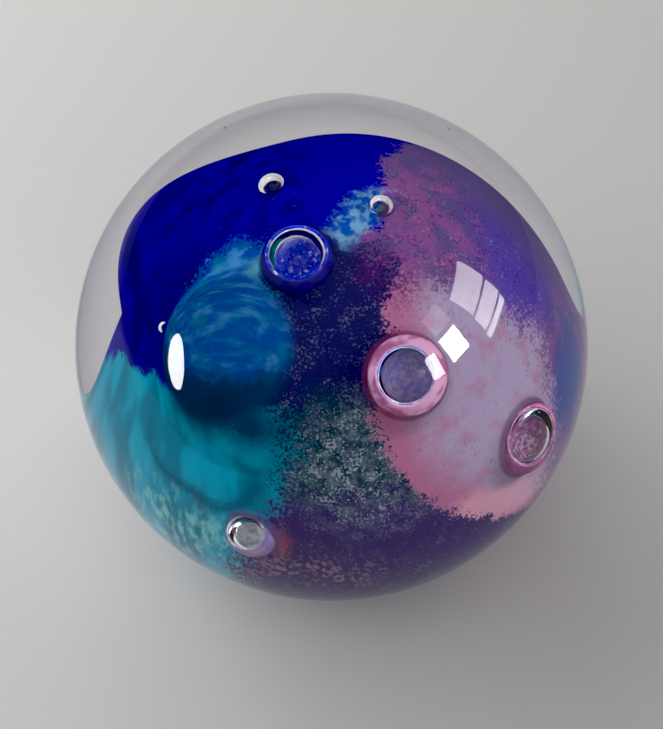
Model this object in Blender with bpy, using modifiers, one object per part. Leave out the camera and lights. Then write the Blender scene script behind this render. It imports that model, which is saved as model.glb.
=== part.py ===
"""Round art-glass paperweight.

A clear gather of glass is cased over a coloured dome. The dome is a plain core gather with
patches of coloured glass fused on it, and air bubbles are trapped between dome and casing.
Metres, +Z up, origin at the centre of the flat base. The finest dome curvature faces up,
and -Y is the side that the sharp rose and midnight border faces.
"""

import math

import bmesh
import bpy
from mathutils import Matrix, Vector

# --- driving dimensions (metres) ---
BALL_RADIUS = 0.0375
BALL_SQUASH = 0.98
BALL_CENTRE_HEIGHT = 0.0326
RIM_BEVEL = 0.0008

DOME_TOP = 0.0531
DOME_WIDEST_HEIGHT = 0.0292
DOME_RADIUS = 0.0223
DOME_FOOT_RADIUS = 0.0128
DOME_SHIFT = Vector((0.0017, -0.0007, 0.0))
DOME_FULLNESS = 0.84
DOME_TUCK = 1.3

LOBE_REACH = 0.0035
LOBE_AZIMUTH = math.radians(149)
LOBE_SPREAD = math.radians(28)
LOBE_HEIGHT = 0.0362
LOBE_RISE = 0.0036

LAYER = 0.0016
GAP = 0.0003
SINK = 0.001

# --- where the colour patches meet, seen from above ---
HUB = Vector((0.0022, 0.0038, 0.0))
CHIP_LENGTH = 0.0050
CHIP_WIDTH = 0.0026
CHIP_TURN = math.radians(62)
WAVE = math.radians(4)
BORDER_REACH = 0.032

# each border leaves the hub at the first azimuth and ends at the second (degrees)
BORDERS = {
    "plum_cobalt": (66, 56),
    "cobalt_azure": (196, 181),
    "azure_midnight": (240, 253),
    "midnight_rose": (296, 284),
    "rose_plum": (336, 343),
}
HUB_CLEARANCE = 0.0012
AZURE_REACH = 0.0185
PLUM_REACH = 0.0160
SKIRT_HEIGHT = 0.0296

# --- bubbles: centre and radius ---
BUBBLES = {
    "bubble_shoulder_large": ((-0.0125, -0.0144, 0.0469), 0.0071),
    "bubble_rose": ((0.0091, -0.0184, 0.0469), 0.0046),
    "bubble_dome": ((-0.0040, -0.0060, 0.0536), 0.0040),
    "bubble_side": ((0.0226, -0.0129, 0.0308), 0.0040),
    "bubble_front_low": ((-0.0091, -0.0210, 0.0238), 0.0026),
    "bubble_back_small": ((-0.0067, 0.0062, 0.0521), 0.0016),
    "bubble_top_small": ((0.0057, 0.0020, 0.0537), 0.0015),
}

# --- smoothness ---
BALL_STEPS = 56
BALL_ARC_POINTS = 23
DOME_STEPS = 36
DOME_ARC_POINTS = 12
TUCK_POINTS = 6
BORDER_POINTS = 11
BUBBLE_SEGMENTS = 14
BUBBLE_RINGS = 7


# --- helpers ---
def clear_scene():
    for item in list(bpy.data.objects):
        bpy.data.objects.remove(item)


def new_collection(name):
    group = bpy.data.collections.new(name)
    bpy.context.scene.collection.children.link(group)
    return group


def glass(name, colour, roughness=0.05, transmission=0.0):
    material = bpy.data.materials.new(name)
    material.use_nodes = True
    shader = material.node_tree.nodes["Principled BSDF"]
    shader.inputs["Base Color"].default_value = (*colour, 1.0)
    shader.inputs["Roughness"].default_value = roughness
    shader.inputs["Metallic"].default_value = 0.0
    shader.inputs["IOR"].default_value = 1.5
    shader.inputs["Transmission Weight"].default_value = transmission
    material.diffuse_color = (*colour, 1.0)
    return material


def add_object(name, mesh, group):
    piece = bpy.data.objects.new(name, mesh)
    group.objects.link(piece)
    return piece


def as_cutter(piece):
    piece.hide_render = True
    piece.display_type = "WIRE"
    return piece


def cut(piece, cutter, operation="DIFFERENCE"):
    modifier = piece.modifiers.new(operation.title() + "_" + cutter.name, "BOOLEAN")
    modifier.operation = operation
    modifier.object = cutter
    modifier.solver = "EXACT"


def evaluated_mesh(piece):
    bpy.context.view_layer.update()
    graph = bpy.context.evaluated_depsgraph_get()
    return bpy.data.meshes.new_from_object(piece.evaluated_get(graph))


def turned_mesh(name, profile, steps, group):
    """Turns a profile, given from the top pole to the centre of the base, into a closed body."""
    outline = bpy.data.meshes.new(name + "_outline")
    points = [(radius, 0.0, height) for radius, height in profile]
    outline.from_pydata(points, [(i, i + 1) for i in range(len(points) - 1)], [])
    turning = add_object(name + "_turning", outline, group)
    screw = turning.modifiers.new("Turn", "SCREW")
    screw.steps = steps
    screw.render_steps = steps
    screw.use_merge_vertices = True
    screw.merge_threshold = 0.00001
    mesh = evaluated_mesh(turning)
    bpy.data.objects.remove(turning)
    return mesh


def smooth(piece, angle=35):
    piece.data.shade_smooth()
    piece.data.set_sharp_from_angle(angle=math.radians(angle))


# --- the outer ball ---
def ball_profile():
    """Half outline of the ball: an ellipse cut flat at the base, with a small round rim."""
    half_height = BALL_RADIUS * BALL_SQUASH
    drop = BALL_CENTRE_HEIGHT - RIM_BEVEL
    last_angle = math.acos(-drop / half_height)
    points = []
    for i in range(BALL_ARC_POINTS):
        angle = last_angle * i / (BALL_ARC_POINTS - 1)
        radius = BALL_RADIUS * math.sin(angle)
        points.append((radius, BALL_CENTRE_HEIGHT + half_height * math.cos(angle)))
    foot_edge = points[-1][0] - RIM_BEVEL * 1.4
    points.append((foot_edge + RIM_BEVEL * 0.5, RIM_BEVEL * 0.25))
    points.append((foot_edge, 0.0))
    points.append((0.0, 0.0))
    return points


# --- the coloured dome's form ---
def dome_profile(offset, sink):
    """Half outline of the dome, grown by an offset: a full cap, then a skirt tucked in to the foot.

    A cutter sinks a little below the base, so that it cuts the base's face cleanly.
    """
    widest = DOME_RADIUS + offset
    foot = DOME_FOOT_RADIUS + offset
    cap_height = DOME_TOP + offset - DOME_WIDEST_HEIGHT
    points = []
    for i in range(DOME_ARC_POINTS):
        angle = math.pi / 2 * i / (DOME_ARC_POINTS - 1)
        radius = widest * math.sin(angle) ** DOME_FULLNESS
        points.append((radius, DOME_WIDEST_HEIGHT + cap_height * math.cos(angle)))
    for i in range(1, TUCK_POINTS + 1):
        down = i / TUCK_POINTS
        radius = foot + (widest - foot) * math.cos(math.pi / 2 * down**DOME_TUCK)
        points.append((radius, DOME_WIDEST_HEIGHT * (1 - down)))
    if sink:
        points.append((foot, -sink))
    points.append((0.0, -sink))
    return points


def dome_swell(point):
    """Leans the turned dome off the base's centre and swells its lobe."""
    azimuth = math.atan2(point.y, point.x) - LOBE_AZIMUTH
    azimuth = math.atan2(math.sin(azimuth), math.cos(azimuth))
    around = math.exp(-((azimuth / LOBE_SPREAD) ** 2))
    along = math.exp(-(((point.z - LOBE_HEIGHT) / LOBE_RISE) ** 2))
    outward = Vector((point.x, point.y, 0.0))
    swell = outward.normalized() * (LOBE_REACH * around * along)
    return point + swell + DOME_SHIFT * min(max(point.z / DOME_WIDEST_HEIGHT, 0.0), 1.0)


def dome_form(name, offset, group, sink=0.0):
    """The dome's closed form at an offset; forms at two offsets nest without touching."""
    mesh = turned_mesh(name, dome_profile(offset, sink), DOME_STEPS, group)
    for vertex in mesh.vertices:
        vertex.co = dome_swell(vertex.co)
    shape = bmesh.new()
    shape.from_mesh(mesh)
    bmesh.ops.triangulate(shape, faces=shape.faces)
    shape.to_mesh(mesh)
    shape.free()
    mesh.name = name
    return add_object(name, mesh, group)


# --- colour patches ---
def border_point(border, radius, side):
    """A point on a wavy border, moved half a gap to one side (+1 is anticlockwise)."""
    start, end = (math.radians(value) for value in BORDERS[border])
    along = radius / BORDER_REACH
    azimuth = start + (end - start) * along + WAVE * math.sin(4 * math.pi * along)
    azimuth += side * GAP / (2 * radius)
    return HUB + Vector((math.cos(azimuth), math.sin(azimuth), 0.0)) * radius


def border_azimuth(border, radius):
    step = border_point(border, radius, 0) - HUB
    return math.atan2(step.y, step.x)


def arc_points(first, last, radius, count):
    """Points between two borders at one distance from the hub, ends left out."""
    begin = border_azimuth(first, radius)
    sweep = (border_azimuth(last, radius) - begin) % (2 * math.pi)
    angles = [begin + sweep * (i + 1) / (count + 1) for i in range(count)]
    return [HUB + Vector((math.cos(a), math.sin(a), 0.0)) * radius for a in angles]


def sector_outline(first, last, near, far):
    """Outline of the patch that lies anticlockwise from one border to another."""
    radii = [near + (far - near) * i / (BORDER_POINTS - 1) for i in range(BORDER_POINTS)]
    outward = [border_point(first, radius, 1) for radius in radii]
    inward = [border_point(last, radius, -1) for radius in reversed(radii)]
    outer = arc_points(first, last, far, 10)
    inner = arc_points(first, last, near, 5)
    return outward + outer + inward + list(reversed(inner))


def chip_outline(grow):
    """Outline of the pale chip over the hub: a long oval with a ragged edge."""
    points = []
    for i in range(20):
        angle = 2 * math.pi * i / 20
        ragged = 1 + 0.08 * math.sin(5 * angle)
        long_way = (CHIP_LENGTH * ragged + grow) * math.cos(angle)
        short_way = (CHIP_WIDTH * ragged + grow) * math.sin(angle)
        points.append(Vector((long_way, short_way, 0.0)))
    turn = Matrix.Rotation(CHIP_TURN, 3, "Z")
    return [HUB + turn @ point for point in points]


def round_outline(radius):
    angles = [2 * math.pi * i / 32 for i in range(32)]
    return [HUB + Vector((math.cos(a), math.sin(a), 0.0)) * radius for a in angles]


def prism(name, outline, low, high, group):
    """A straight-sided cutter: the outline at one height, extruded up to another."""
    shape = bmesh.new()
    corners = [shape.verts.new((point.x, point.y, low)) for point in outline]
    floor = shape.faces.new(corners)
    raised = bmesh.ops.extrude_face_region(shape, geom=[floor])
    lifted = [item for item in raised["geom"] if isinstance(item, bmesh.types.BMVert)]
    bmesh.ops.translate(shape, verts=lifted, vec=(0.0, 0.0, high - low))
    bmesh.ops.recalc_face_normals(shape, faces=shape.faces)
    mesh = bpy.data.meshes.new(name)
    shape.to_mesh(mesh)
    shape.free()
    return as_cutter(add_object(name, mesh, group))


def bubble_ball(name, centre, radius, group):
    shape = bmesh.new()
    bmesh.ops.create_uvsphere(shape, u_segments=BUBBLE_SEGMENTS, v_segments=BUBBLE_RINGS, radius=radius)
    mesh = bpy.data.meshes.new(name)
    shape.to_mesh(mesh)
    shape.free()
    ball = add_object(name, mesh, group)
    ball.location = centre
    return ball


def cut_pockets(piece, pockets):
    for pocket in pockets:
        cut(piece, pocket)


# --- sub-parts ---
def make_bubbles(parts, material):
    for name, (centre, radius) in BUBBLES.items():
        bubble = bubble_ball(name, centre, radius, parts)
        bubble.data.materials.append(material)
        smooth(bubble)


def make_pockets(cutters):
    pockets = []
    for name, (centre, radius) in BUBBLES.items():
        pocket = bubble_ball("pocket_" + name, centre, radius + GAP, cutters)
        pockets.append(as_cutter(pocket))
    return pockets


def make_casing(parts, cutters, pockets):
    mesh = turned_mesh("clear_casing", ball_profile(), BALL_STEPS, parts)
    casing = add_object("clear_casing", mesh, parts)
    casing.data.materials.append(glass("clear_glass", (0.95, 0.95, 0.97), 0.02, 1.0))
    cut(casing, as_cutter(dome_form("casing_hollow", 0.0, cutters, SINK)))
    cut_pockets(casing, pockets)
    smooth(casing)


def make_core(parts, pockets):
    core = dome_form("core_gather", -2 * GAP - LAYER, parts)
    core.data.materials.append(glass("core_glass", (0.62, 0.66, 0.72), 0.1, 0.3))
    cut_pockets(core, pockets)
    smooth(core)


def make_patch(name, colour, outline, heights, groups, others):
    """One patch of the colour layer: the dome's skin inside an outline, clear of other pieces."""
    parts, cutters = groups
    patch = dome_form(name, -GAP, parts)
    patch.data.materials.append(glass(name + "_glass", colour))
    cut(patch, prism("outline_" + name, outline, *heights, cutters), "INTERSECT")
    for other in others:
        cut(patch, other)
    smooth(patch)


def make_layers(parts, cutters, pockets):
    groups = (parts, cutters)
    whole = (-SINK, DOME_TOP + SINK)
    skirt = (-SINK, SKIRT_HEIGHT - GAP / 2)
    cap = (SKIRT_HEIGHT + GAP / 2, DOME_TOP + SINK)
    skin_inside = as_cutter(dome_form("skin_inside", -GAP - LAYER, cutters, SINK))
    under_chip = prism("chip_hole", chip_outline(GAP), *whole, cutters)
    over_azure = prism("azure_hole", round_outline(AZURE_REACH + GAP), *cap, cutters)
    over_plum = prism("plum_hole", round_outline(PLUM_REACH + GAP), *cap, cutters)

    def sector(name, colour, first, last, heights, reach=BORDER_REACH, holes=()):
        outline = sector_outline(first, last, HUB_CLEARANCE, reach)
        others = [skin_inside, under_chip, *holes, *pockets]
        make_patch(name, colour, outline, heights, groups, others)

    sector("cobalt_layer", (0.01, 0.0, 0.26), "plum_cobalt", "cobalt_azure", whole)
    sector("azure_layer", (0.01, 0.09, 0.30), "cobalt_azure", "azure_midnight", cap, AZURE_REACH)
    sector("turquoise_layer", (0.0, 0.2, 0.24), "cobalt_azure", "azure_midnight", whole, holes=[over_azure])
    sector("midnight_layer", (0.01, 0.02, 0.07), "azure_midnight", "midnight_rose", cap)
    sector("rose_layer", (0.42, 0.16, 0.25), "midnight_rose", "rose_plum", cap)
    sector("indigo_skirt", (0.06, 0.03, 0.14), "azure_midnight", "rose_plum", skirt)
    sector("plum_layer", (0.13, 0.05, 0.15), "rose_plum", "plum_cobalt", cap, PLUM_REACH)
    sector("violet_layer", (0.12, 0.08, 0.28), "rose_plum", "plum_cobalt", whole, holes=[over_plum])
    make_patch("aqua_chip", (0.25, 0.5, 0.65), chip_outline(0.0), cap, groups, [skin_inside, *pockets])


def main():
    clear_scene()
    parts = new_collection("glass_paperweight")
    cutters = new_collection("cutters")
    pockets = make_pockets(cutters)
    make_casing(parts, cutters, pockets)
    make_core(parts, pockets)
    make_layers(parts, cutters, pockets)
    make_bubbles(parts, glass("air_bubble", (0.9, 0.92, 0.95), 0.02, 0.9))


main()
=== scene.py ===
"""Looks of the round art-glass paperweight.

The CAD keeps every layer apart by a small gap. Here the glass is fused, as it is on the real
object: one clear ball of glass holds a dome with a coloured skin. Bubbles of air sit in cups on
the dome, and the largest bubble lies under the skin. Metres, +Z up; the photo looks from -Y.
"""

import math

import bmesh
import bpy
from mathutils import Matrix, Vector


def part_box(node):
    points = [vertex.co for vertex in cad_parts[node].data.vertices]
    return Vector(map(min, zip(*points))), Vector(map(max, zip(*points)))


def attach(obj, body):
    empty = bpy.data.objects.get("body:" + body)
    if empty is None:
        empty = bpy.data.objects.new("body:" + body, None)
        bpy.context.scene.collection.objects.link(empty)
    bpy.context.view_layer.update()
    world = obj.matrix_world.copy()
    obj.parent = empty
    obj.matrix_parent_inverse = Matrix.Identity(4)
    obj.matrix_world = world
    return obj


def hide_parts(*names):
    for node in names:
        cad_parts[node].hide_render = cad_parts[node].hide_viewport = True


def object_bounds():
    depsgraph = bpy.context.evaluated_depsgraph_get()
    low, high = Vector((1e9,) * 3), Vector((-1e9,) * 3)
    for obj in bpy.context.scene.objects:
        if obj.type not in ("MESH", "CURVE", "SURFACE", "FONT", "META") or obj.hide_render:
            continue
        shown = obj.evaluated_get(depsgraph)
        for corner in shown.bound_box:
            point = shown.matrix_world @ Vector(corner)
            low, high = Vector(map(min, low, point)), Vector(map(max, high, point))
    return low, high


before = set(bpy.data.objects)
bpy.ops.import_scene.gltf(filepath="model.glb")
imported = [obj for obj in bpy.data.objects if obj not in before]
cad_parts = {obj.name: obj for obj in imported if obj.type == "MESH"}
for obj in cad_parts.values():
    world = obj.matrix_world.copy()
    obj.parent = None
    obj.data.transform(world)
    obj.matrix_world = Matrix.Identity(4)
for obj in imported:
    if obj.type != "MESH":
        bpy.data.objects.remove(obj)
FIRST_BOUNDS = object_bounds()
LOW, HIGH = (Vector(corner) for corner in FIRST_BOUNDS)
MM = 0.001

# --- the ball, from the frame ---
BALL_RADIUS = (HIGH.x - LOW.x) / 2
BALL_SQUASH = 0.98
HALF_HEIGHT = BALL_RADIUS * BALL_SQUASH
BALL_CENTRE = Vector((0.0, 0.0, HIGH.z - HALF_HEIGHT))
RIM_BEVEL = 0.8 * MM
RIM_WIDTH = 1.4 * RIM_BEVEL

# --- the dome, as the CAD has it ---
DOME_TOP = 53.1 * MM
DOME_WIDEST_HEIGHT = 29.2 * MM
DOME_RADIUS = 22.3 * MM
DOME_FOOT_RADIUS = 12.8 * MM
DOME_SHIFT = Vector((1.7 * MM, -0.7 * MM, 0.0))
DOME_FULLNESS = 0.84
DOME_TUCK = 1.3
LOBE_REACH = 3.5 * MM
LOBE_AZIMUTH = math.radians(149)
LOBE_SPREAD = math.radians(28)
LOBE_HEIGHT = 36.2 * MM
LOBE_RISE = 3.6 * MM
HUB = Vector((2.2 * MM, 3.8 * MM, 0.0))
BORDER_REACH = 32.0 * MM
BORDER_WAVE = math.radians(4)
BORDERS = {
    "plum_cobalt": (66, 56),
    "cobalt_azure": (196, 181),
    "azure_midnight": (240, 253),
    "midnight_rose": (296, 284),
    "rose_plum": (336, 343),
}
AZURE_REACH = 18.5 * MM
PLUM_REACH = 16.0 * MM
SKIRT_HEIGHT = 29.6 * MM
CHIP_LENGTH = 5.0 * MM
CHIP_WIDTH = 2.6 * MM
CHIP_TURN = math.radians(62)

# --- the depth kept for the skin of colour, and the small gaps that keep pieces apart ---
LAYER = 0.5 * MM
BASE_LIFT = 0.15 * MM
CLEARANCE = 0.05 * MM
CORE_GAP = 0.1 * MM

# --- glass: air in glass has an index a little over 1 / 1.5 ---
GLASS_INDEX = 1.5
GLASS_TINT = (0.985, 0.975, 0.978)
GLASS_SHINE = 0.4
AIR_INDEX = 0.7
AIR_TINT = (1.0, 1.0, 1.0)
AIR_SHINE = 0.3

# --- the camera: its height over the ball's horizon, and its distance in ball radii ---
PHOTO_SIDE = math.radians(-90)
VIEW_ELEVATION = math.radians(46.8)
VIEW_DISTANCE = 8.5
LENS = 107.0
SENSOR_WIDTH = 36.0
LENS_SHIFT = -0.025
NEAREST = 10 * MM

# --- the collar of colour that holds each bubble, in bubble radii from the bubble's middle ---
DOME_HEART = DOME_SHIFT + Vector((0.0, 0.0, 26.0 * MM))
COLLAR_HEIGHT = 0.0
COLLAR_DEPTH = -1.5
COLLAR_SPREAD = 0.25
CUP_MOUTH = (0.62, 0.88)

# --- the thin-walled pit round a bubble ---
PIT_WALL = 0.3 * MM
PIT_ARC_STEPS = 48
PIT_LIP_STEPS = 6
PIT_STEPS_AROUND = 96
# which way each pit opens, and half the angle of its mouth in degrees
PITS = {
    "bubble_rose": ((0.0, -0.68, 0.73), 52),
    "bubble_dome": ((-0.10, -0.25, 1.15), 65),
    "bubble_side": ((0.60, -0.68, 0.73), 65),
    "bubble_front_low": ((-0.60, -0.61, 0.80), 65),
}

# --- the bubble that lies under the colours; they leave its curve for a straight slope, in its radii ---
COVERED = "bubble_shoulder_large"
SLOPE_START = 0.90
SLOPE_DEPTH = -1.2

# --- the smallest bubbles, which the CAD leaves out: a seed by the large bubble, and specks as far
# from the ball's centre as this share of its radius ---
SEED_RADIUS = 0.7 * MM
SEED_AZIMUTH = math.radians(-167.8)
SEED_HEIGHT = 40.9 * MM
SPECK_RADIUS = 0.25 * MM
SPECK_DEPTH = 0.96
# azimuth and elevation of each speck from the ball's centre, in degrees
SPECKS = ((138, 56.5), (41.5, 52.7), (180, 15))

# --- light: the world's strength for each kind of ray, and the picture's black level ---
ROOM_GLOW = 0.33
GLASS_GLOW = 0.6
CEILING_GLOW = 0.03
BACKDROP_GLOW = 0.7
BLACK_LEVEL = (0.012, 0.012, 0.012)

# azimuth and elevation of each window pane, its angles across and up, and its radiance
WINDOWS = {
    "window_wide_top": (1, 34, 17, 12, 18),
    "window_wide_middle": (0, 23.5, 17, 7, 18),
    "window_wide_low": (-1, 17.8, 17, 2.6, 21),
    "window_bright": (-25, 28, 10, 11, 72),
    "window_shaded": (-24.5, 40, 10, 9, 5.4),
    "window_low": (-39, 26.5, 5.5, 10, 40),
}
LAMP = (-163, 11.8, 8.5, 20, 45)
LAMP_TURN = 40
# the same for the fills, with their colour and their distance in metres
FILLS = {
    "fill_back": (122, 40, 60, 50, 2.0, (1.0, 0.985, 0.975), 0.36),
    "fill_left": (172, 33, 70, 50, 2.3, (0.93, 0.97, 1.0), 0.4),
    "fill_front": (-90, 48, 70, 60, 0.9, (0.98, 0.98, 1.0), 1.0),
}
FLOOR_COLOUR = (0.50, 0.484, 0.473)
FLOOR_DROP = 0.2 * MM
SKY_COLOUR = (0.97, 0.98, 1.0)

# --- fineness ---
BALL_STEPS = 220
BALL_ARC_POINTS = 110
RIM_STEPS = 6
WELD = 0.01 * MM
DOME_AROUND = 420
DOME_DOWN = 170
# the share of the rows that lie on the dome's cap, and how far down the first row starts, in rows
CAP_SHARE = 0.6
POLE_SHARE = 0.02
CORE_COARSER = 3
BUBBLE_SEGMENTS = 64
SEED_SEGMENTS = 32
SPECK_SEGMENTS = 20
HALVINGS = 30

BUBBLE_NAMES = [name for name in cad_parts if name.startswith("bubble_")]


def bubble_shape(name):
    """Centre and radius of a bubble, from its CAD node."""
    low, high = (Vector(corner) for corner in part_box(name))
    centre = (low + high) / 2
    return centre, (high.z - low.z) / 2


BUBBLES = {name: bubble_shape(name) for name in BUBBLE_NAMES}


# --- sums ---
def direction(azimuth, elevation=0.0):
    """A unit vector; azimuth 0 is +X and a quarter turn is +Y."""
    flat = math.cos(elevation)
    return Vector((flat * math.cos(azimuth), flat * math.sin(azimuth), math.sin(elevation)))


def smoothstep(low, high, value):
    share = min(max((value - low) / (high - low), 0.0), 1.0)
    return share * share * (3 - 2 * share)


# --- meshes ---
def add_piece(name, mesh, material, slot, nodes=()):
    """Adds a finished mesh as a piece that rides on the paperweight."""
    piece = bpy.data.objects.new(name, mesh)
    bpy.context.scene.collection.objects.link(piece)
    mesh.materials.clear()
    mesh.materials.append(material)
    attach(piece, "root")
    if nodes:
        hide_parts(*nodes)


def smooth(mesh, angle=50):
    mesh.shade_smooth()
    mesh.set_sharp_from_angle(angle=math.radians(angle))


def lathe(name, profile, steps):
    """Turns a profile, given from the top pole to the base's centre, into a closed mesh."""
    shape = bmesh.new()
    points = [shape.verts.new((radius, 0.0, height)) for radius, height in profile]
    edges = [shape.edges.new((points[i], points[i + 1])) for i in range(len(points) - 1)]
    bmesh.ops.spin(
        shape, geom=points + edges, cent=(0, 0, 0), axis=(0, 0, 1), angle=2 * math.pi, steps=steps
    )
    bmesh.ops.remove_doubles(shape, verts=shape.verts, dist=WELD)
    bmesh.ops.recalc_face_normals(shape, faces=shape.faces)
    mesh = bpy.data.meshes.new(name)
    shape.to_mesh(mesh)
    shape.free()
    smooth(mesh)
    return mesh


def ball_profile():
    """Half outline of the ball: an ellipse cut flat at the base, with a fire-polished rim."""
    last_angle = math.acos((RIM_BEVEL - BALL_CENTRE.z) / HALF_HEIGHT)
    points = []
    for i in range(BALL_ARC_POINTS + 1):
        angle = last_angle * i / BALL_ARC_POINTS
        radius = BALL_RADIUS * math.sin(angle)
        points.append((radius, BALL_CENTRE.z + HALF_HEIGHT * math.cos(angle)))
    edge = points[-1][0]
    for i in range(1, RIM_STEPS + 1):
        turn = math.pi / 2 * i / RIM_STEPS
        inward = RIM_WIDTH * (1 - math.cos(turn))
        points.append((edge - inward, RIM_BEVEL * (1 - math.sin(turn))))
    points.append((0.0, 0.0))
    return points


def dome_outline(down, offset=0.0):
    """Radius and height of the dome at a share of the way down, from its top (0) to its foot (1)."""
    widest = DOME_RADIUS + offset
    foot = DOME_FOOT_RADIUS + offset
    if down <= CAP_SHARE:
        angle = math.pi / 2 * down / CAP_SHARE
        cap_height = DOME_TOP + offset - DOME_WIDEST_HEIGHT
        return widest * math.sin(angle) ** DOME_FULLNESS, DOME_WIDEST_HEIGHT + cap_height * math.cos(angle)
    fall = (down - CAP_SHARE) / (1 - CAP_SHARE)
    radius = foot + (widest - foot) * math.cos(math.pi / 2 * fall**DOME_TUCK)
    return radius, BASE_LIFT + (DOME_WIDEST_HEIGHT - BASE_LIFT) * (1 - fall)


def lean(height):
    return DOME_SHIFT * min(height / DOME_WIDEST_HEIGHT, 1.0)


def placed(azimuth, radius, height):
    """A point of the dome from its outline's radius and height, with the dome's lean."""
    return direction(azimuth) * radius + Vector((0.0, 0.0, height)) + lean(height)


def dome_surface(azimuth, height):
    """The point of the dome at an azimuth and a height, found by halving."""
    near, far = 0.0, 1.0
    for _ in range(HALVINGS):
        middle = (near + far) / 2
        if dome_outline(middle)[1] > height:
            near = middle
        else:
            far = middle
    return placed(azimuth, *dome_outline(near))


def dome_point(azimuth, down, offset=0.0):
    """A point on the dome with its lobe swollen, or so far outside it."""
    radius, height = dome_outline(down, offset)
    away = azimuth - LOBE_AZIMUTH
    away = math.atan2(math.sin(away), math.cos(away))
    around = math.exp(-((away / LOBE_SPREAD) ** 2))
    along = math.exp(-(((height - LOBE_HEIGHT) / LOBE_RISE) ** 2))
    if radius > 0.0:
        radius += LOBE_REACH * around * along
    return placed(azimuth, radius, height)


def collar(point):
    """Swells the dome round each bubble that isn't covered, up to a collar level with its middle."""
    for name, (centre, radius) in BUBBLES.items():
        if name == COVERED:
            continue
        axis = (centre - DOME_HEART).normalized()
        away = (point - centre) / radius
        height = away.dot(axis)
        beside = (away - axis * height).length
        if height < COLLAR_DEPTH or beside > 1 + 3 * COLLAR_SPREAD:
            continue
        inner = smoothstep(*CUP_MOUTH, beside)
        outer = math.exp(-((max(beside - 1, 0) / COLLAR_SPREAD) ** 2))
        lift = max(COLLAR_HEIGHT - height, 0.0) * inner * outer
        point = point + axis * radius * lift
    return point


def drape(point):
    """Lifts a point of the dome over the covered bubble."""
    centre, radius = BUBBLES[COVERED]
    reach = radius + LAYER + 2 * CLEARANCE
    axis = (centre - DOME_HEART).normalized()
    away = (point - centre) / reach
    height = away.dot(axis)
    beside = (away - axis * height).length
    if beside < SLOPE_START:
        cover = math.sqrt(1 - beside * beside)
    else:
        start = math.sqrt(1 - SLOPE_START * SLOPE_START)
        cover = start - (beside - SLOPE_START) * SLOPE_START / start
    if height < SLOPE_DEPTH or height > cover:
        return point
    return point + axis * (cover - height) * reach


def press(point, clearance):
    """Moves a point out of any bubble and its pit."""
    for name, (centre, radius) in BUBBLES.items():
        reach = radius + (PIT_WALL if name in PITS else 0.0) + clearance
        away = point - centre
        if away.length < reach:
            point = centre + away.normalized() * reach
    return point


def border_azimuth(border, radius):
    start, end = (math.radians(value) for value in BORDERS[border])
    along = radius / BORDER_REACH
    return start + (end - start) * along + BORDER_WAVE * math.sin(4 * math.pi * along)


def between(azimuth, first, last, radius):
    begin = border_azimuth(first, radius)
    sweep = (border_azimuth(last, radius) - begin) % (2 * math.pi)
    return (azimuth - begin) % (2 * math.pi) < sweep


def layer_at(point):
    """Name of the CAD colour layer that holds a point of the dome."""
    step = point - HUB
    step.z = 0.0
    turned = Matrix.Rotation(-CHIP_TURN, 3, "Z") @ step
    on_top = point.z > SKIRT_HEIGHT
    if on_top and (turned.x / CHIP_LENGTH) ** 2 + (turned.y / CHIP_WIDTH) ** 2 < 1:
        return "aqua_chip"
    radius = step.length
    azimuth = math.atan2(step.y, step.x)
    if between(azimuth, "plum_cobalt", "cobalt_azure", radius):
        return "cobalt_layer"
    if between(azimuth, "cobalt_azure", "azure_midnight", radius):
        return "azure_layer" if on_top and radius < AZURE_REACH else "turquoise_layer"
    if between(azimuth, "rose_plum", "plum_cobalt", radius):
        return "plum_layer" if on_top and radius < PLUM_REACH else "violet_layer"
    if not on_top:
        return "indigo_skirt"
    return "midnight_layer" if between(azimuth, "azure_midnight", "midnight_rose", radius) else "rose_layer"


def dome_grid():
    """Points of the dome's outside, row by row from the top."""
    rows = []
    for j in range(DOME_DOWN + 1):
        down = (j + POLE_SHARE) / (DOME_DOWN + POLE_SHARE)
        ring = [dome_point(2 * math.pi * i / DOME_AROUND, down) for i in range(DOME_AROUND)]
        rows.append([press(drape(collar(point)), 2 * CLEARANCE) for point in ring])
    return rows


def layer_meshes():
    """A two-sided skin for each colour layer, all cut from the same grid.

    The new faces have no normals yet when they are solidified, so the inner side doesn't move in:
    both sides of a skin lie in the same place, and it has no thickness.
    """
    rows = dome_grid()
    shapes = {}
    for j in range(DOME_DOWN):
        for i in range(DOME_AROUND):
            after = (i + 1) % DOME_AROUND
            corners = [(j, i), (j + 1, i), (j + 1, after), (j, after)]
            middle = sum((rows[a][b] for a, b in corners), Vector()) / 4
            name = layer_at(middle)
            if name not in shapes:
                shapes[name] = (bmesh.new(), {})
            shape, made = shapes[name]
            for a, b in corners:
                if (a, b) not in made:
                    made[a, b] = shape.verts.new(rows[a][b])
            shape.faces.new([made[corner] for corner in corners])
    meshes = {}
    for name, (shape, made) in shapes.items():
        bmesh.ops.solidify(shape, geom=shape.faces, thickness=LAYER)
        bmesh.ops.recalc_face_normals(shape, faces=shape.faces)
        mesh = bpy.data.meshes.new(name + "_glass")
        shape.to_mesh(mesh)
        shape.free()
        smooth(mesh, 60)
        meshes[name] = mesh
    return meshes


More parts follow.
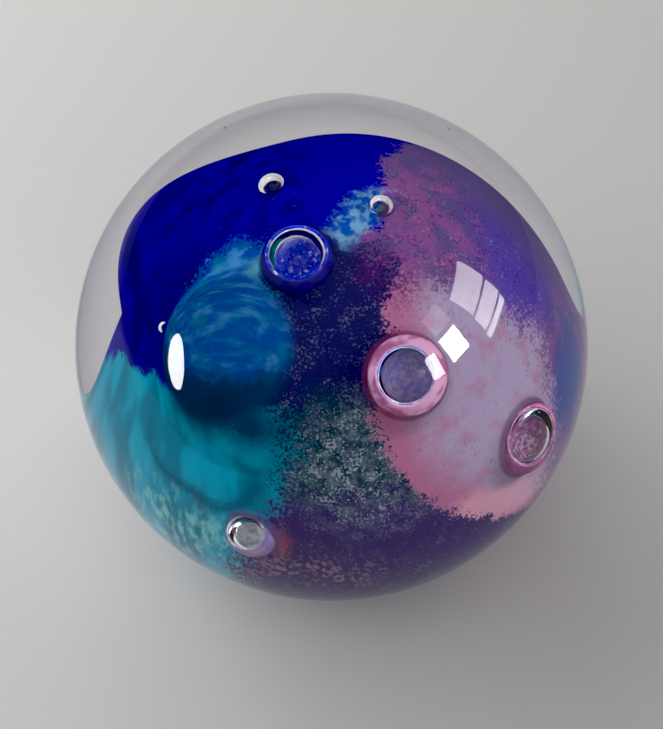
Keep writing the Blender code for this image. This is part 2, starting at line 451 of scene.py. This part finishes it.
def core_mesh():
    """The core gather's closed form, just inside the colour layers."""
    shape = bmesh.new()
    rows = []
    around = DOME_AROUND // CORE_COARSER
    down_steps = DOME_DOWN // CORE_COARSER
    inset = -LAYER - CORE_GAP
    for j in range(down_steps + 1):
        down = (j + POLE_SHARE) / (down_steps + POLE_SHARE)
        ring = [dome_point(2 * math.pi * i / around, down, inset) for i in range(around)]
        rows.append([shape.verts.new(press(point, CLEARANCE - inset)) for point in ring])
    for j in range(down_steps):
        for i in range(around):
            after = (i + 1) % around
            shape.faces.new([rows[j][i], rows[j + 1][i], rows[j + 1][after], rows[j][after]])
    shape.faces.new(rows[0])
    shape.faces.new(list(reversed(rows[-1])))
    bmesh.ops.recalc_face_normals(shape, faces=shape.faces)
    mesh = bpy.data.meshes.new("core_glass_body")
    shape.to_mesh(mesh)
    shape.free()
    smooth(mesh)
    return mesh


def pit_mesh(name, centre, radius, axis, opening):
    """The wall of the pit that holds a bubble: a thin bowl with a rounded lip."""
    inner = radius + CLEARANCE
    outer = inner + PIT_WALL
    mouth = math.radians(opening)
    turns = [math.pi + (mouth - math.pi) * i / PIT_ARC_STEPS for i in range(PIT_ARC_STEPS + 1)]
    outside = [(outer * math.sin(turn), outer * math.cos(turn)) for turn in turns]
    inside = [(inner * math.sin(turn), inner * math.cos(turn)) for turn in reversed(turns)]
    middle = Vector((math.sin(mouth), math.cos(mouth))) * (inner + outer) / 2
    lip = []
    for i in range(1, PIT_LIP_STEPS):
        turn = mouth - math.pi * i / PIT_LIP_STEPS
        lip.append(tuple(middle + Vector((math.sin(turn), math.cos(turn))) * PIT_WALL / 2))
    mesh = lathe(name, outside + lip + inside, PIT_STEPS_AROUND)
    facing = Vector(axis).to_track_quat("Z", "Y").to_matrix().to_4x4()
    mesh.transform(Matrix.Translation(centre) @ facing)
    return mesh


def ball_mesh(name, centre, radius, segments):
    shape = bmesh.new()
    bmesh.ops.create_uvsphere(shape, u_segments=segments, v_segments=segments // 2, radius=radius)
    bmesh.ops.translate(shape, verts=shape.verts, vec=centre)
    mesh = bpy.data.meshes.new(name)
    shape.to_mesh(mesh)
    shape.free()
    mesh.shade_smooth()
    return mesh


# --- materials ---
class Graph:
    """A material's nodes, with short calls for the sums that its colours are made of."""

    def __init__(self, name):
        self.material = bpy.data.materials.new(name)
        self.material.use_nodes = True
        self.tree = self.material.node_tree
        self.shader = self.tree.nodes["Principled BSDF"]
        coordinates = self.tree.nodes.new("ShaderNodeTexCoord").outputs["Object"]
        self.place = self.vector("SCALE", coordinates, scale=1 / MM)

    def fill(self, socket, value):
        if isinstance(value, bpy.types.NodeSocket):
            self.tree.links.new(value, socket)
        else:
            socket.default_value = value

    def math(self, operation, *values, clamp=False):
        node = self.tree.nodes.new("ShaderNodeMath")
        node.operation = operation
        node.use_clamp = clamp
        for socket, value in zip(node.inputs, values):
            self.fill(socket, value)
        return node.outputs[0]

    def vector(self, operation, *values, scale=None):
        node = self.tree.nodes.new("ShaderNodeVectorMath")
        node.operation = operation
        for socket, value in zip(node.inputs, values):
            self.fill(socket, value)
        if scale is not None:
            self.fill(node.inputs["Scale"], scale)
        return node.outputs["Value" if operation in ("LENGTH", "DOT_PRODUCT") else "Vector"]

    def noise(self, size, detail, seed, output="Fac", stretch=(1, 1, 1)):
        """Noise whose features are about the given size in millimetres."""
        moved = self.vector("MULTIPLY_ADD", self.place, stretch, (seed, -seed, seed / 2))
        node = self.tree.nodes.new("ShaderNodeTexNoise")
        self.fill(node.inputs["Vector"], moved)
        node.inputs["Scale"].default_value = 1 / size
        node.inputs["Detail"].default_value = detail
        return node.outputs[output]

    def ramp(self, value, low, high, first=0.0, last=1.0):
        """A smooth step from first to last as the value goes from low to high."""
        node = self.tree.nodes.new("ShaderNodeMapRange")
        node.interpolation_type = "SMOOTHSTEP"
        for socket, item in zip(node.inputs, (value, low, high, first, last)):
            self.fill(socket, item)
        return node.outputs["Result"]

    def mix(self, share, first, second):
        node = self.tree.nodes.new("ShaderNodeMix")
        node.data_type = "RGBA"
        self.fill(node.inputs[0], share)
        for socket, colour in ((node.inputs[6], first), (node.inputs[7], second)):
            self.fill(socket, colour if isinstance(colour, bpy.types.NodeSocket) else (*colour, 1.0))
        return node.outputs[2]


def clear_glass(name, tint, index, shine):
    graph = Graph(name)
    shader = graph.shader
    shader.inputs["Base Color"].default_value = (*tint, 1.0)
    shader.inputs["Roughness"].default_value = 0.0
    shader.inputs["IOR"].default_value = index
    shader.inputs["Transmission Weight"].default_value = 1.0
    shader.inputs["Specular Tint"].default_value = (shine, shine, shine, 1.0)
    return graph.material


# colours of crushed glass, fused (linear)
COBALT = (0.005, 0.003, 0.40)
DEEP_BLUE = (0.003, 0.007, 0.20)
ULTRAMARINE = (0.018, 0.007, 0.27)
AZURE = (0.004, 0.11, 0.50)
LIGHT_AZURE = (0.10, 0.38, 0.72)
TURQUOISE = (0.002, 0.41, 0.60)
DEEP_TURQUOISE = (0.001, 0.24, 0.38)
PALE_TEAL = (0.22, 0.66, 0.66)
# dark teal for painted shade on and below the large bubble
PAINTED_SHADE_TEAL = (0.001, 0.06, 0.15)
MIDNIGHT = (0.023, 0.025, 0.13)
GREEN_BLACK = (0.006, 0.045, 0.08)
GRIT = (0.42, 0.47, 0.52)
GRIT_HAZE = (0.16, 0.22, 0.27)
ROSE = (0.50, 0.19, 0.34)
LILAC = (0.47, 0.39, 0.57)
SHELL_PINK = (0.80, 0.45, 0.58)
PLUM = (0.28, 0.105, 0.31)
DARK_PLUM = (0.09, 0.02, 0.17)
VIOLET = (0.11, 0.075, 0.42)
SMOKE = (0.13, 0.10, 0.27)
INDIGO = (0.055, 0.032, 0.16)
SKY = (0.06, 0.10, 0.36)
AQUA = (0.20, 0.44, 0.70)
WINE = (0.48, 0.13, 0.20)
# white of the painted highlights inside the pits
PAINTED_HIGHLIGHT_WHITE = (0.90, 0.90, 0.94)
CORE_COLOUR = (0.55, 0.60, 0.66)

# each bubble's pit: its outside, a darker line of painted shade where it meets the dome, and two colours
# inside, the glass's own hues brightened as painted light
CUPS = {
    "bubble_rose": ((0.60, 0.34, 0.52), (0.26, 0.04, 0.14), ((0.50, 0.48, 1.0), (0.86, 0.68, 1.0))),
    "bubble_dome": ((0.012, 0.010, 0.16), MIDNIGHT, ((0.03, 0.10, 0.98), (0.03, 0.03, 0.70))),
    "bubble_side": ((0.40, 0.10, 0.24), (0.12, 0.03, 0.12), ((0.42, 0.17, 0.46), (0.72, 0.32, 0.58))),
    "bubble_front_low": ((0.30, 0.22, 0.34), SMOKE, ((0.95, 0.95, 1.0), (0.60, 0.62, 0.75))),
}

# the paint's drift, the size of its grains, clumps and clouds, and how far they cross an edge (mm)
DRIFT = 4.0
DRIFT_SIZE = 5.0
GRAIN_SIZE = 0.36
CLUMP_SIZE = 1.3
CLOUD_SIZE = 2.8
GRAIN_CROSSING = 1.7
CLUMP_CROSSING = 0.8

# distances from a bubble at which the colours of its pit set in, from none to all (mm)
# PIT_LINE: where the darker line of painted shade round a pit fades in
PIT_LINE = (1.1, 0.7)
PIT_OUTSIDE = (0.45, 0.38)
PIT_INSIDE = (0.25, 0.15)

# the ends that the curves below lie between
TURN_ENDS = (-200, 200)
HEIGHT_ENDS = (0, 60)

# where the fields of colour meet: (height in mm, degrees round from the front)
NIGHT_LEFT = (
    (17, -30), (22, -26), (28, -18), (34, -14), (40, -13), (44, -18), (47, -26), (51, -32), (54, -40),
)
NIGHT_RIGHT = (
    (17, 75), (19, 62), (21, 50), (25, 38), (31, 25), (35, 20), (40, 14),
    (44, 12.5), (47, 18), (49, 25), (51, 36), (52.2, 48), (52.8, 80), (54, 120),
)
LILAC_RIGHT = ((17, 70), (28, 76), (33, 78), (37, 82), (44, 74), (48, 66), (51, 56), (54, 50))
# (degrees round from the front, height in mm)
TEAL_TOP = (
    (-180, 12), (-130, 18), (-100, 26.5), (-90, 30.5), (-80, 32.5),
    (-70, 36), (-60, 39), (-40, 43), (-15, 45.5), (20, 47),
)

# ovals on the dome: (azimuth in degrees, height, half width and half height in mm)
DEEP_BLUE_PATCH = (-168, 43, 9.0, 7.0)
SHOULDER = (-143, 47.6, 9.5, 7.0)
SHOULDER_CREST = (-150, 51.2, 2.4, 2.2)
TEAL_SHADE = (-100, 38, 7, 9)
WISPS = (-137, 20, 9.0, 4.2)
# a patch of dark teal under the large bubble: painted shade
PAINTED_SHADE_UNDER_SHOULDER = (-131, 41.5, 8.0, 4.6)
# the ring between the next two ovals: a painted shadow arc along a fold below the large bubble
FOLD_SHADOW_OUTSIDE = (-139, 31.0, 8.5, 6.5)
FOLD_SHADOW_INSIDE = (-140, 31.8, 7.8, 6.0)
GRITTY = (-84, 35.5, 8.0, 8.5)
SMEAR = (-98, 19, 8.0, 3.0)
SHELL = (-42, 23.5, 8.0, 2.6)
VIOLET_PATCH = (12, 42, 9.0, 7.0)
SKY_STREAK = (3, 27.5, 7.0, 5.0)
SMOKE_PATCH = (55, 36, 14.0, 12.0)
WINE_PATCH = (-109, 23.0, 1.6, 2.2)
DARK_FLECKS = (-48, 52.2, 3.6, 4.4)
CHIP = (54, 53.08, 5.2, 2.3)

# the cobalt behind: it starts this far east at the top and spreads as the dome falls away (mm)
COBALT_TOP = 53.0
COBALT_EAST = 5.5
COBALT_SPREAD = 0.21
COBALT_SOUTH = 0.5
COBALT_WEST = 3.0

# the colours over the covered bubble: which way they get lighter, with painted shade making the lower side
# dark teal, and how far they reach in its radii
COVER_CLIMB = (0.0, 0.35, 0.94)
COVER_REACH = (1.32, 1.12)


class DomePaint(Graph):
    """The colours fused on the dome: broad fields that meet in ragged edges, and patches over them."""

    def __init__(self, name):
        super().__init__(name)
        drift = self.noise(DRIFT_SIZE, 2.0, seed=3.0, output="Color")
        self.warped = self.vector("MULTIPLY_ADD", drift, (DRIFT, DRIFT, DRIFT), self.place)
        self.warped = self.vector("SUBTRACT", self.warped, (DRIFT / 2, DRIFT / 2, DRIFT / 2))
        self.grain = self.noise(GRAIN_SIZE, 1.0, seed=11.0)
        self.clump = self.noise(CLUMP_SIZE, 2.0, seed=17.0)
        self.cloud = self.noise(CLOUD_SIZE, 4.0, seed=23.0)
        split = self.tree.nodes.new("ShaderNodeSeparateXYZ")
        self.fill(split.inputs[0], self.warped)
        self.east, self.north, self.height = split.outputs
        flat = self.vector("MULTIPLY", self.warped, (1.0, 1.0, 0.0))
        self.radius = self.vector("LENGTH", flat)
        south = self.math("MULTIPLY", self.north, -1.0)
        self.round = self.math("DEGREES", self.math("ARCTAN2", self.east, south))

    def curve(self, value, points, ends):
        """Looks a value up on a smooth curve through the points, whose values lie between the ends."""
        first, last = points[0][0], points[-1][0]
        low, high = ends
        share = self.ramp_line(value, first, last, 0.0, 1.0)
        node = self.tree.nodes.new("ShaderNodeFloatCurve")
        line = node.mapping.curves[0]
        for _ in range(len(points) - 2):
            line.points.new(0.5, 0.5)
        for point, (place, result) in zip(line.points, points):
            point.location = ((place - first) / (last - first), (result - low) / (high - low))
        node.mapping.update()
        self.fill(node.inputs["Value"], share)
        return self.ramp_line(node.outputs[0], 0.0, 1.0, low, high)

    def ramp_line(self, value, low, high, first, last):
        node = self.tree.nodes.new("ShaderNodeMapRange")
        for socket, item in zip(node.inputs, (value, low, high, first, last)):
            self.fill(socket, item)
        return node.outputs["Result"]

    def frayed(self, distance, soft, ragged):
        """1 where a distance in mm is past 0 and 0 before it; grains and clumps cross the edge."""
        for rough, crossing in ((self.grain, GRAIN_CROSSING), (self.clump, CLUMP_CROSSING)):
            reach = crossing * ragged
            distance = self.math("ADD", distance, self.math("MULTIPLY_ADD", rough, reach, -reach / 2))
        return self.ramp(distance, -soft, soft)

    def past(self, edge, soft, ragged, shift=0.0):
        """1 on the right-hand side of an edge that runs down the dome."""
        turn = self.curve(self.height, edge, TURN_ENDS)
        away = self.math("RADIANS", self.math("SUBTRACT", self.round, turn))
        distance = self.math("MULTIPLY_ADD", away, self.radius, -shift)
        return self.frayed(distance, soft, ragged)

    def below(self, edge, soft, ragged):
        """1 below an edge that runs round the dome."""
        top = self.curve(self.round, edge, HEIGHT_ENDS)
        return self.frayed(self.math("SUBTRACT", top, self.height), soft, ragged)

    def oval(self, azimuth, height, wide, tall, soft, ragged, turn=0.0):
        """1 inside an oval on the dome, given by its centre and half sizes in mm, and 0 outside."""
        centre = dome_surface(math.radians(azimuth), height * MM)
        facing = Matrix.Rotation(math.radians(azimuth), 3, "Z")
        facing = facing @ Matrix.Rotation(math.radians(turn), 3, "X")
        node = self.tree.nodes.new("ShaderNodeMapping")
        node.vector_type = "TEXTURE"
        self.fill(node.inputs["Vector"], self.warped)
        node.inputs["Location"].default_value = centre / MM
        node.inputs["Rotation"].default_value = facing.to_euler()
        node.inputs["Scale"].default_value = (max(wide, tall), wide, tall)
        reach = self.vector("LENGTH", node.outputs[0])
        rough = self.math("MULTIPLY_ADD", self.grain, ragged, -0.5 * ragged)
        return self.ramp(self.math("ADD", reach, rough), 1 + soft, 1 - soft)

    def patch(self, below, colour, *where, strength=1.0, **edge):
        """A patch of another colour: an oval on the dome."""
        share = self.oval(*where, **edge)
        return self.mix(self.math("MULTIPLY", share, strength), below, colour)

    def flecks(self, below, colour, size, cover, seed, where=None, strength=1.0):
        """Single grains of another colour, thicker in some places than in others."""
        dots = self.noise(size, 3.0, seed=seed)
        crowd = self.noise(size * 7, 2.0, seed=seed + 5.0)
        level = self.math("MULTIPLY_ADD", crowd, 0.5, dots)
        share = self.ramp(level, cover, cover + 0.16, 0.0, strength)
        if where is not None:
            share = self.math("MULTIPLY", share, where)
        return self.mix(share, below, colour)

    def wall(self, below, bubble, outside, rim, inside):
        """A pit's wall: its outside, a darker line of painted shade where it meets the dome, and two
        colours inside, brightened as painted light and flecked with white painted highlights.
        """
        centre, radius = BUBBLES[bubble]
        away = self.vector("SUBTRACT", self.place, centre / MM)
        reach = self.math("SUBTRACT", self.vector("LENGTH", away), radius / MM)
        # a darker line where the pit meets the dome: painted shade in the crease
        colour = self.mix(self.ramp(reach, *PIT_LINE, 0.0, 0.6), below, rim)
        uneven = self.mix(self.ramp(self.cloud, 0.42, 0.58, 0.0, 0.75), outside, rim)
        colour = self.mix(self.ramp(reach, *PIT_OUTSIDE, 0.0, 0.85), colour, uneven)
        # the pit's inside: the glass's own hues brightened as painted light, standing in for light that
        # reaches the cup
        inner = self.mix(self.ramp(self.clump, 0.42, 0.60), inside[0], inside[1])
        # white flecks inside the pit: painted highlights
        inner = self.flecks(inner, PAINTED_HIGHLIGHT_WHITE, 0.8, 0.80, 79.0, strength=0.8)
        return self.mix(self.ramp(reach, *PIT_INSIDE), colour, inner)

    def cover(self, below, upper, lower):
        """The colours over the covered bubble: lighter towards the top, with painted shade making the lower
        side dark teal.
        """
        centre, radius = BUBBLES[COVERED]
        radius /= MM
        away = self.vector("SUBTRACT", self.place, centre / MM)
        reach = self.vector("LENGTH", away)
        climb = self.vector("DOT_PRODUCT", away, Vector(COVER_CLIMB) / radius)
        climb = self.math("MULTIPLY_ADD", self.clump, 0.5, climb)
        colour = self.mix(self.ramp(climb, 0.05, 0.5), lower, upper)
        last, whole = (share * radius for share in COVER_REACH)
        return self.mix(self.ramp(reach, last, whole), below, colour)

    def finish(self, colour):
        self.fill(self.shader.inputs["Base Color"], colour)
        self.shader.inputs["Roughness"].default_value = 1.0
        self.shader.inputs["Specular IOR Level"].default_value = 0.0
        return self.material


def shoulder_colour(paint):
    """Streaky azure."""
    streaks = paint.noise(1.6, 5.0, seed=37.0, stretch=(0.35, 1.0, 1.0))
    azure = paint.mix(paint.ramp(streaks, 0.42, 0.72, 0.0, 0.8), AZURE, LIGHT_AZURE)
    return paint.mix(paint.ramp(paint.cloud, 0.5, 0.72, 0.0, 0.8), azure, DEEP_TURQUOISE)


def blue_field(paint):
    """Cobalt over the left and the back, and a streaky azure shoulder."""
    wash = paint.noise(5.0, 4.0, seed=31.0)
    colour = paint.mix(paint.ramp(wash, 0.50, 0.66), COBALT, ULTRAMARINE)
    colour = paint.mix(paint.ramp(wash, 0.48, 0.36), colour, DEEP_BLUE)
    colour = paint.patch(colour, DEEP_BLUE, *DEEP_BLUE_PATCH, soft=0.6, ragged=0.8, strength=0.7)
    colour = paint.flecks(colour, AZURE, 0.5, 0.92, 41.0, strength=0.5)
    shoulder = paint.oval(*SHOULDER, soft=0.16, ragged=0.6, turn=-12)
    colour = paint.mix(shoulder, colour, shoulder_colour(paint))
    return paint.patch(colour, PALE_TEAL, *SHOULDER_CREST, soft=0.6, ragged=0.8, strength=0.55)


def teal_field(paint):
    """Turquoise on the left flank, with folds, and pale wisps low down; below the large bubble, a patch of
    painted shade and a painted shadow arc along a fold.
    """
    folds = paint.noise(4.5, 2.0, seed=43.0, stretch=(1.0, 1.0, 0.45))
    colour = paint.mix(paint.ramp(folds, 0.38, 0.60), DEEP_TURQUOISE, TURQUOISE)
    colour = paint.patch(colour, DEEP_TURQUOISE, *TEAL_SHADE, soft=0.6, ragged=0.5)
    wisps = paint.noise(1.1, 4.0, seed=47.0, stretch=(1.0, 1.0, 0.5))
    low = paint.oval(*WISPS, soft=0.5, ragged=0.8)
    share = paint.math("MULTIPLY", low, paint.ramp(wisps, 0.42, 0.66))
    colour = paint.mix(share, colour, PALE_TEAL)
    # dark teal under the large bubble: painted shade
    colour = paint.patch(colour, PAINTED_SHADE_TEAL, *PAINTED_SHADE_UNDER_SHOULDER, soft=0.35, ragged=0.3)
    # a dark arc along a fold below the large bubble: painted shadow
    around = paint.oval(*FOLD_SHADOW_OUTSIDE, soft=0.12, ragged=0.2)
    within = paint.oval(*FOLD_SHADOW_INSIDE, soft=0.16, ragged=0.2)
    fold = paint.math("MULTIPLY", paint.math("SUBTRACT", around, within, clamp=True), 0.7)
    return paint.mix(fold, colour, PAINTED_SHADE_TEAL)


def night_field(paint):
    """The dark stripe down the front, peppered with grey grit, and indigo at its foot."""
    colour = paint.mix(paint.ramp(paint.height, 47.0, 42.0), MIDNIGHT, GREEN_BLACK)
    colour = paint.mix(paint.ramp(paint.cloud, 0.5, 0.7), colour, MIDNIGHT)
    foot = paint.math("MULTIPLY_ADD", paint.clump, 6.0, paint.height)
    foot = paint.math("MULTIPLY_ADD", paint.grain, 5.0, foot)
    colour = paint.mix(paint.ramp(foot, 38.5, 34.0), colour, INDIGO)
    gritty = paint.oval(*GRITTY, soft=0.5, ragged=0.8)
    haze = paint.math("MULTIPLY", gritty, paint.ramp(paint.clump, 0.35, 0.70, 0.0, 0.7))
    colour = paint.mix(haze, colour, GRIT_HAZE)
    colour = paint.flecks(colour, GRIT, 0.32, 0.77, 53.0, where=gritty, strength=0.85)
    colour = paint.flecks(colour, GRIT, 0.30, 0.82, 59.0, strength=0.24)
    smear = paint.oval(*SMEAR, soft=0.6, ragged=0.9)
    return paint.flecks(colour, SHELL_PINK, 0.6, 0.74, 61.0, where=smear, strength=0.35)


def pink_field(paint):
    """Rose beside the dark stripe, thinning to a powdery lilac."""
    rosy = paint.past(NIGHT_RIGHT, soft=3.2, ragged=2.0, shift=4.6)
    colour = paint.mix(rosy, ROSE, LILAC)
    colour = paint.mix(paint.ramp(paint.cloud, 0.45, 0.75, 0.0, 0.6), colour, ROSE)
    colour = paint.flecks(colour, PLUM, 0.4, 0.86, 67.0, strength=0.5)
    return paint.patch(colour, SHELL_PINK, *SHELL, soft=0.5, ragged=0.8, turn=-18, strength=0.75)


def plum_field(paint):
    """Plum on the right of the top, violet below it and a light blue streak at the side."""
    colour = paint.mix(paint.ramp(paint.cloud, 0.38, 0.62), PLUM, SMOKE)
    colour = paint.patch(colour, VIOLET, *VIOLET_PATCH, soft=0.5, ragged=1.2)
    colour = paint.flecks(colour, DARK_PLUM, 0.4, 0.78, 71.0, strength=0.6)
    colour = paint.flecks(colour, LILAC, 0.35, 0.84, 73.0, strength=0.4)
    colour = paint.patch(colour, SKY, *SKY_STREAK, soft=0.6, ragged=1.8)
    return paint.patch(colour, SMOKE, *SMOKE_PATCH, soft=0.3, ragged=0.9)


def dome_material():
    paint = DomePaint("fused_colours")
    colour = blue_field(paint)
    colour = paint.mix(paint.below(TEAL_TOP, 0.5, 1.6), colour, teal_field(paint))
    night = paint.past(NIGHT_LEFT, 1.6, 6.0)
    colour = paint.mix(night, colour, night_field(paint))
    colour = paint.mix(paint.past(NIGHT_RIGHT, 0.45, 3.4), colour, pink_field(paint))
    colour = paint.patch(colour, WINE, *WINE_PATCH, soft=0.6, ragged=0.8, strength=0.6)
    dark = paint.oval(*DARK_FLECKS, soft=0.5, ragged=0.8)
    colour = paint.flecks(colour, DARK_PLUM, 0.4, 0.66, 83.0, where=dark, strength=0.8)
    colour = paint.mix(paint.past(LILAC_RIGHT, 2.6, 6.0), colour, plum_field(paint))
    fallen = paint.math("SUBTRACT", COBALT_TOP, paint.height)
    edge = paint.math("MULTIPLY_ADD", fallen, COBALT_SPREAD, COBALT_EAST)
    behind = paint.math("SUBTRACT", edge, paint.east)
    behind = paint.math("MINIMUM", behind, paint.math("ADD", paint.north, COBALT_SOUTH))
    behind = paint.math("MINIMUM", behind, paint.math("ADD", paint.east, COBALT_WEST))
    colour = paint.mix(paint.frayed(behind, 0.5, 2.5), colour, COBALT)
    chip = paint.mix(paint.ramp(paint.clump, 0.4, 0.6), AQUA, AZURE)
    colour = paint.patch(colour, chip, *CHIP, soft=0.5, ragged=0.9, turn=90)
    # over the covered bubble: shoulder azure dulled with dark teal above, dark teal painted shade below
    colour = paint.cover(colour, paint.mix(0.35, shoulder_colour(paint), PAINTED_SHADE_TEAL), PAINTED_SHADE_TEAL)
    for bubble, look in CUPS.items():
        colour = paint.wall(colour, bubble, *look)
    return paint.finish(colour)


def plain_material(name, colour, roughness):
    graph = Graph(name)
    graph.shader.inputs["Base Color"].default_value = (*colour, 1.0)
    graph.shader.inputs["Roughness"].default_value = roughness
    graph.shader.inputs["Specular IOR Level"].default_value = 0.0
    return graph.material


# --- the pieces ---
def make_pieces():
    glass = clear_glass("clear_glass", GLASS_TINT, GLASS_INDEX, GLASS_SHINE)
    air = clear_glass("bubble_wall", AIR_TINT, AIR_INDEX, AIR_SHINE)
    casing = lathe("clear_casing_glass", ball_profile(), BALL_STEPS)
    add_piece("clear_casing_glass", casing, glass, "clear_glass", ["clear_casing"])
    core = plain_material("core_glass", CORE_COLOUR, 0.8)
    add_piece("core_glass_body", core_mesh(), core, "core_glass", ["core_gather"])
    colours = dome_material()
    for node, mesh in layer_meshes().items():
        add_piece(node + "_glass", mesh, colours, node, [node])
    for name, (centre, radius) in BUBBLES.items():
        bubble = ball_mesh(name + "_air", centre, radius, BUBBLE_SEGMENTS)
        add_piece(name + "_air", bubble, air, "trapped_air", [name])
        if name in PITS:
            pit = pit_mesh(name + "_pit", centre, radius, *PITS[name])
            add_piece(name + "_pit", pit, colours, layer_at(centre))

    seed = dome_surface(SEED_AZIMUTH, SEED_HEIGHT)
    seed += direction(SEED_AZIMUTH) * (SEED_RADIUS + 4 * CLEARANCE)
    bubble = ball_mesh("bubble_seed_air", seed, SEED_RADIUS, SEED_SEGMENTS)
    add_piece("bubble_seed_air", bubble, air, "trapped_air")
    for i, (azimuth, elevation) in enumerate(SPECKS):
        place = direction(math.radians(azimuth), math.radians(elevation)) * SPECK_DEPTH * BALL_RADIUS
        name = f"speck_{i + 1}_air"
        bubble = ball_mesh(name, BALL_CENTRE + place, SPECK_RADIUS, SPECK_SEGMENTS)
        add_piece(name, bubble, air, "trapped_air")


# --- stage ---
def make_floor():
    bpy.ops.mesh.primitive_plane_add(size=4.0, location=(0, 0, -FLOOR_DROP))
    floor = bpy.context.object
    floor.name = "floor"
    floor.data.materials.append(plain_material("floor_paint", FLOOR_COLOUR, 0.9))


def aim(thing, target):
    thing.rotation_euler = (target - thing.location).to_track_quat("-Z", "Y").to_euler()


def make_camera():
    data = bpy.data.cameras.new("camera")
    data.lens = LENS
    data.sensor_width = SENSOR_WIDTH
    data.shift_y = LENS_SHIFT
    data.clip_start = NEAREST
    camera = bpy.data.objects.new("camera", data)
    bpy.context.scene.collection.objects.link(camera)
    camera.location = BALL_CENTRE + direction(PHOTO_SIDE, VIEW_ELEVATION) * VIEW_DISTANCE * BALL_RADIUS
    aim(camera, BALL_CENTRE)
    bpy.context.scene.camera = camera


def softbox(
    name, azimuth, elevation, wide, tall, radiance, colour=(1, 1, 1), distance=1.5, mirrored=True, turn=0
):
    """A sheet of light that faces the ball; its place and its size are angles seen from the ball.

    A mirrored sheet is seen in the glass and lights nothing matt; the others are the reverse.
    A sheet is square-cornered, unless it is turned or not mirrored: then it is round.
    """
    width = 2 * distance * math.tan(math.radians(wide) / 2)
    height = 2 * distance * math.tan(math.radians(tall) / 2)
    rounded = turn or not mirrored
    area = width * height * (math.pi / 4 if rounded else 1)
    data = bpy.data.lights.new(name, "AREA")
    data.shape = "ELLIPSE" if rounded else "RECTANGLE"
    data.size = width
    data.size_y = height
    data.energy = radiance * math.pi * area
    data.color = colour
    light = bpy.data.objects.new(name, data)
    bpy.context.scene.collection.objects.link(light)
    light.location = BALL_CENTRE + direction(math.radians(azimuth), math.radians(elevation)) * distance
    light.visible_camera = False
    light.visible_glossy = mirrored
    light.visible_diffuse = not mirrored
    aim(light, BALL_CENTRE)
    light.rotation_euler.rotate_axis("Z", math.radians(turn))


def make_world():
    """A bright room seen through the glass; in the ball's own mirror its ceiling is dark."""
    world = bpy.data.worlds.new("studio")
    bpy.context.scene.world = world
    world.use_nodes = True
    tree = world.node_tree
    path = tree.nodes.new("ShaderNodeLightPath")

    def choose(chance, otherwise, value):
        """The value where the chance is 1, and otherwise where it is 0."""
        node = tree.nodes.new("ShaderNodeMapRange")
        tree.links.new(chance, node.inputs["Value"])
        node.inputs["To Max"].default_value = value
        if isinstance(otherwise, bpy.types.NodeSocket):
            tree.links.new(otherwise, node.inputs["To Min"])
        else:
            node.inputs["To Min"].default_value = otherwise
        return node.outputs["Result"]

    strength = choose(path.outputs["Is Singular Ray"], ROOM_GLOW, CEILING_GLOW)
    strength = choose(path.outputs["Transmission Depth"], strength, GLASS_GLOW)
    strength = choose(path.outputs["Is Camera Ray"], strength, BACKDROP_GLOW)
    background = tree.nodes["Background"]
    background.inputs["Color"].default_value = (*SKY_COLOUR, 1.0)
    tree.links.new(strength, background.inputs["Strength"])


def make_light():
    make_world()
    for name, pane in WINDOWS.items():
        softbox(name, *pane)
    softbox("lamp_left", *LAMP, turn=LAMP_TURN)
    for name, fill in FILLS.items():
        softbox(name, *fill, mirrored=False)
    view = bpy.context.scene.view_settings
    view.view_transform = "Standard"
    view.use_curve_mapping = True
    view.curve_mapping.black_level = BLACK_LEVEL


make_pieces()
make_floor()
make_camera()
make_light()
